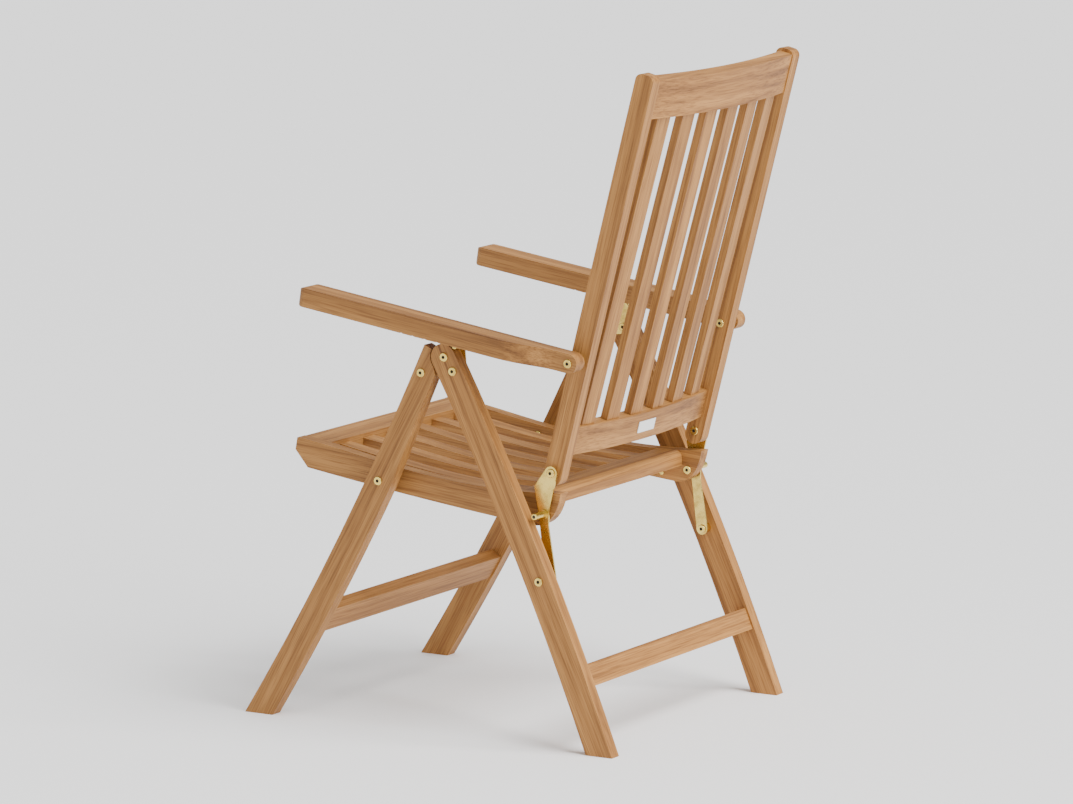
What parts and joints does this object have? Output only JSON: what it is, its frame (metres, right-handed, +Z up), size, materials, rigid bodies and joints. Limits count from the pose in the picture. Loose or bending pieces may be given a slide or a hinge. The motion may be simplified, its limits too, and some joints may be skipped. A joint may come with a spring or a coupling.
{
  "type": "folding chair",
  "caption": "High-backed folding wooden garden armchair with slatted seat and back, armrests on pins and brass link plates.",
  "frame": {"origin": "on the floor, under the middle of the chair's bounding box, as it stands open", "axes": "-Y is the way the sitter faces, +X is the sitter's left, +Z is up"},
  "size_m": [0.602, 0.751, 1.0853],
  "materials": {
    "teak": "oiled, straight grain, satin",
    "brass": "polished, slightly worn",
    "satin_label": "satin, blank"
  },
  "bodies": {
    "rear_frame": {"rear_leg_left": "teak", "rear_leg_right": "teak", "rear_stretcher": "teak", "hinge_bracket_left": "brass", "hinge_bracket_right": "brass", "bracket_bolt_upper_left": "brass", "bracket_bolt_upper_right": "brass", "bracket_bolt_lower_left": "brass", "bracket_bolt_lower_right": "brass", "leg_hinge_bolt_left": "brass", "leg_hinge_bolt_right": "brass", "armrest_rest_pin_left": "brass", "armrest_rest_pin_right": "brass", "link_pivot_bolt_left": "brass", "link_pivot_bolt_right": "brass", "link_pivot_spacer_left": "brass", "link_pivot_spacer_right": "brass"},
    "front_frame": {"front_leg_left": "teak", "front_leg_right": "teak", "front_stretcher": "teak", "seat_front_bolt_left": "brass", "seat_front_bolt_right": "brass", "seat_front_spacer_left": "brass", "seat_front_spacer_right": "brass"},
    "link": {"link_plate_left": "brass", "link_plate_right": "brass", "link_rest_peg_left": "brass", "link_rest_peg_right": "brass", "back_pivot_bolt_left": "brass", "back_pivot_bolt_right": "brass"},
    "seat": {"seat_rail_left": "teak", "seat_rail_right": "teak", "seat_front_rail": "teak", "seat_rear_rail": "teak", "seat_slat_1": "teak", "seat_slat_2": "teak", "seat_slat_3": "teak", "seat_slat_4": "teak", "seat_slat_5": "teak", "seat_slat_6": "teak", "seat_front_nut_left": "brass", "seat_front_nut_right": "brass"},
    "back": {"back_stile_left": "teak", "back_stile_right": "teak", "back_top_rail": "teak", "back_bottom_rail": "teak", "back_slat_1": "teak", "back_slat_2": "teak", "back_slat_3": "teak", "back_slat_4": "teak", "back_slat_5": "teak", "back_slat_6": "teak", "back_label_plate": "satin_label"},
    "arm_pivot_left": {"arm_pivot_bolt_left": "brass", "arm_pivot_spacer_left": "brass"},
    "arm_pivot_right": {"arm_pivot_bolt_right": "brass", "arm_pivot_spacer_right": "brass"},
    "armrest_left": {"armrest_left": "teak"},
    "armrest_right": {"armrest_right": "teak"}
  },
  "joints": [
    {"name": "fold", "type": "hinge", "parent": "rear_frame", "child": "link", "pos_m": [0, 0.18304, 0.2715], "axis": [-1, 0, 0], "range_deg": [0, 128]},
    {"name": "front_legs_fold", "type": "hinge", "parent": "rear_frame", "child": "front_frame", "pos_m": [0, -0.03496, 0.59], "axis": [1, 0, 0], "range_deg": [0, 51.86]},
    {"name": "seat_fold", "type": "hinge", "parent": "link", "child": "seat", "pos_m": [0, 0.17054, 0.374], "axis": [1, 0, 0], "range_deg": [0, 92.24]},
    {"name": "recline", "type": "hinge", "parent": "link", "child": "back", "pos_m": [0, 0.18354, 0.441], "axis": [-1, 0, 0], "range_deg": [0, 30]},
    {"name": "arm_follow_left", "type": "hinge", "parent": "back", "child": "arm_pivot_left", "pos_m": [0, 0.23097, 0.62437], "axis": [1, 0, 0], "range_deg": [0, 22.81]},
    {"name": "arm_follow_right", "type": "hinge", "parent": "back", "child": "arm_pivot_right", "pos_m": [0, 0.23097, 0.62437], "axis": [1, 0, 0], "range_deg": [0, 22.81]},
    {"name": "arm_lift_left", "type": "hinge", "parent": "arm_pivot_left", "child": "armrest_left", "pos_m": [0, 0.23097, 0.62437], "axis": [-1, 0, 0], "range_deg": [0, 92]},
    {"name": "arm_lift_right", "type": "hinge", "parent": "arm_pivot_right", "child": "armrest_right", "pos_m": [0, 0.23097, 0.62437], "axis": [-1, 0, 0], "range_deg": [0, 92]}
  ],
  "couplings": [
    {"joint": "front_legs_fold", "follows": "fold", "ratio": 0.40508},
    {"joint": "seat_fold", "follows": "fold", "ratio": 0.72057},
    {"joint": "arm_follow_left", "follows": "recline", "ratio": 0.76},
    {"joint": "arm_follow_right", "follows": "recline", "ratio": 0.76}
  ]
}
